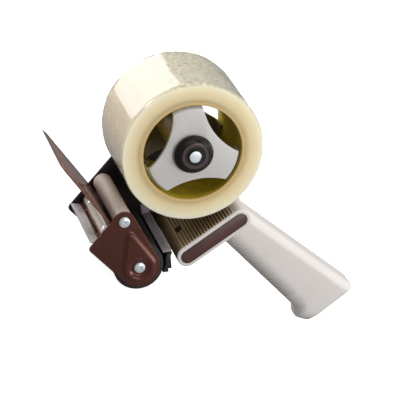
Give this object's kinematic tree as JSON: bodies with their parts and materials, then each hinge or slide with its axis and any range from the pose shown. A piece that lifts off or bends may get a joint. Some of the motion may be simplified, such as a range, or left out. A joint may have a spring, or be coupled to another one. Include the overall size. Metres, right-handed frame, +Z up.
{
  "type": "packing tape dispenser",
  "caption": "Hand-held packing tape dispenser: pistol grip, braked hub with a wide tape roll, pressing roller, guide roller, serrated blade and wiper flap.",
  "frame": {"origin": "centre of the footprint on the surface that the part stands on", "axes": "+X from the wiper towards the grip, +Y along the axles away from the open side, +Z up"},
  "size_m": [0.2711, 0.092, 0.173],
  "materials": {
    "brown_paint": "satin paint on pressed steel",
    "dark_paint": "satin paint on steel plate",
    "zinc_steel": "bright zinc",
    "grey_steel": "plain steel",
    "blade_steel": "bright ground steel",
    "brown_sheet": "satin sheet",
    "black_plastic": "matte",
    "black_rubber": "fine texture",
    "grey_plastic": "fine moulded texture",
    "label_brown": "bare satin plate",
    "hub_plastic": "moulded",
    "dark_plastic": "moulded",
    "knob_plastic": "moulded",
    "tan_tube": "satin, tan anodised",
    "black_steel": "blackened",
    "bearing_brass": "plain",
    "fibre": "fibre washer",
    "kraft_core": "kraft paper",
    "tape_film": "clear film on a pale amber wind"
  },
  "bodies": {
    "frame": {"frame_plate": "dark_paint", "side_plate": "brown_paint", "roller_shaft": "zinc_steel", "guide_shaft": "zinc_steel", "side_screws": "zinc_steel", "frame_screws": "zinc_steel", "cross_bar": "brown_paint", "cutter_blade": "blade_steel", "blade_rivets": "grey_steel", "wiper_root": "brown_sheet", "clamp_plate": "grey_steel", "clamp_screws": "zinc_steel", "guide_strip": "grey_steel", "tape_stop": "black_plastic", "stop_rivets": "grey_steel", "handle_near_shell": "grey_plastic", "handle_far_shell": "grey_plastic", "label_plate": "label_brown", "deck_screws": "zinc_steel", "grip_screws": "zinc_steel", "hub_axle": "zinc_steel", "axle_washer": "zinc_steel", "axle_nut": "zinc_steel", "thrust_washer": "fibre", "pressure_washer": "grey_steel", "brake_spring": "zinc_steel"},
    "tape_hub": {"hub_front": "hub_plastic", "hub_rear": "dark_plastic", "hub_barrel": "dark_plastic", "hub_bushes": "bearing_brass", "friction_washer": "fibre", "tape_core": "kraft_core", "tape_roll": "tape_film"},
    "brake_seat": {"spring_seat": "grey_steel"},
    "brake_knob": {"brake_knob": "knob_plastic", "knob_insert": "black_steel"},
    "pressing_roller": {"roller_tyre": "black_rubber", "roller_sleeve": "hub_plastic", "roller_bushes": "bearing_brass"},
    "guide_roller": {"guide_tube": "tan_tube", "guide_bushes": "bearing_brass"},
    "wiper": {"wiper_flap": "brown_sheet"}
  },
  "joints": [
    {"name": "roll_spin", "type": "hinge", "parent": "frame", "child": "tape_hub", "pos_m": [-0.04185, 0, 0.118], "axis": [0, 1, 0], "continuous": true},
    {"name": "brake_travel", "type": "slide", "parent": "frame", "child": "brake_seat", "axis": [0, 1, 0], "range_m": [-0.00125, 0.00125], "deforming": ["brake_spring"]},
    {"name": "knob_turn", "type": "hinge", "parent": "brake_seat", "child": "brake_knob", "pos_m": [-0.04185, 0, 0.118], "axis": [0, 1, 0], "range_deg": [-360, 360]},
    {"name": "pressing_roller_spin", "type": "hinge", "parent": "frame", "child": "pressing_roller", "pos_m": [-0.04805, 0, 0.0195], "axis": [0, 1, 0], "continuous": true},
    {"name": "guide_roller_spin", "type": "hinge", "parent": "frame", "child": "guide_roller", "pos_m": [-0.07335, 0, 0.0516], "axis": [0, 1, 0], "continuous": true},
    {"name": "wiper_bend", "type": "hinge", "parent": "frame", "child": "wiper", "pos_m": [-0.07817, 0, 0.04333], "axis": [0, 1, 0], "range_deg": [-15, 25], "stiffness_Nm_per_rad": 0.3}
  ],
  "couplings": [
    {"joint": "knob_turn", "follows": "brake_travel", "rad_per_m": 5026}
  ]
}
